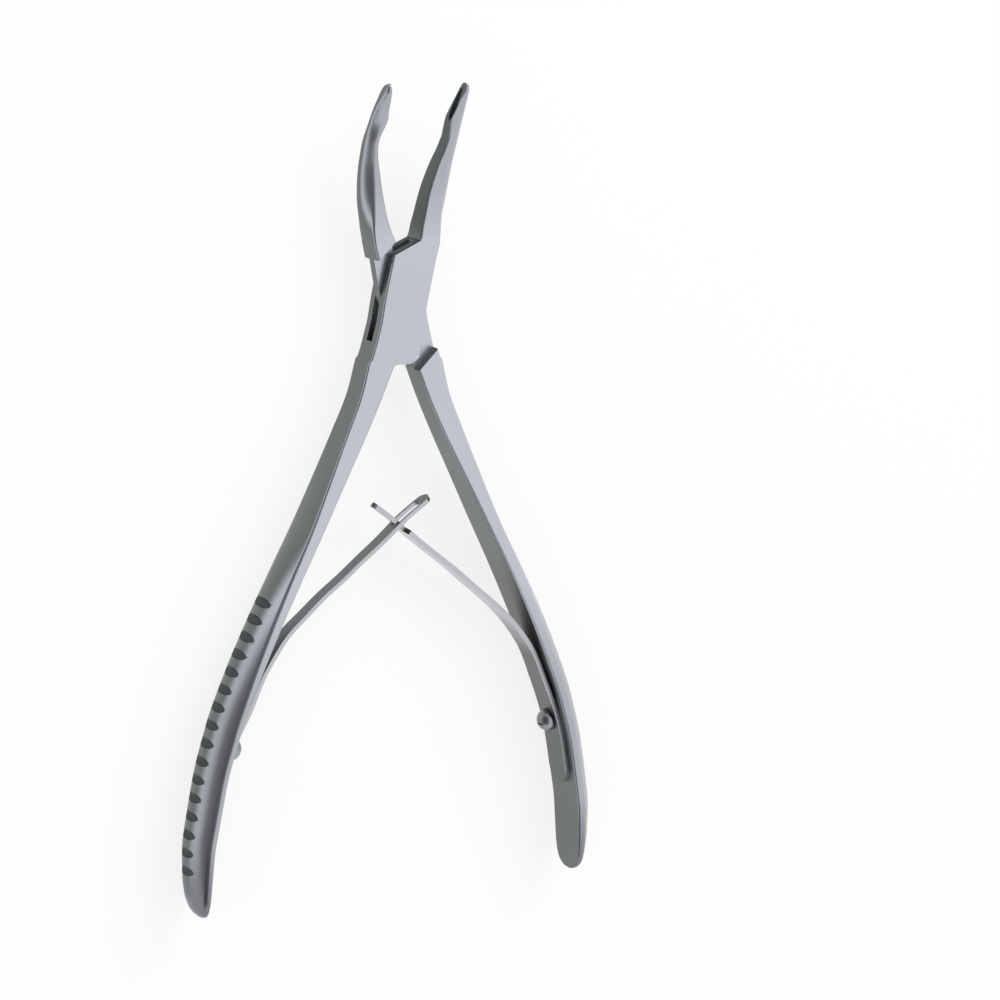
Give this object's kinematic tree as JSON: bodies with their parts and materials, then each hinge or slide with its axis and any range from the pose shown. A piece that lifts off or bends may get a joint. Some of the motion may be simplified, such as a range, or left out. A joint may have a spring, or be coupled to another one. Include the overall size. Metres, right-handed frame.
{
  "type": "bone rongeur",
  "caption": "Single-action hand rongeur with a box lock, curved jaws with hollow bites, and crossed leaf springs between its handles.",
  "frame": {"origin": "on the pivot axis, at the back face of the box lock", "axes": "+Y from the pivot towards the tips, midway between the jaws, +Z along the pivot towards the side that the jaws curve to, +X to the right seen from that side"},
  "size_m": [0.0912, 0.1682, 0.0177],
  "materials": {
    "satin_steel": "satin",
    "spring_steel": "satin",
    "screw_steel": "polished"
  },
  "bodies": {
    "female": {"female_half": "satin_steel", "pivot_pin": "satin_steel", "eye_leaf_spring": "spring_steel", "eye_spring_screw": "screw_steel"},
    "male": {"male_half": "satin_steel", "tongue_leaf_spring": "spring_steel", "tongue_spring_screw": "screw_steel"}
  },
  "joints": [
    {"name": "pivot", "type": "hinge", "parent": "female", "child": "male", "pos_m": [0, 0, 0.00347], "axis": [0, 0, -1], "range_deg": [-5, 20.2], "stiffness_Nm_per_rad": 4, "deforming": ["eye_leaf_spring", "tongue_leaf_spring"]}
  ]
}
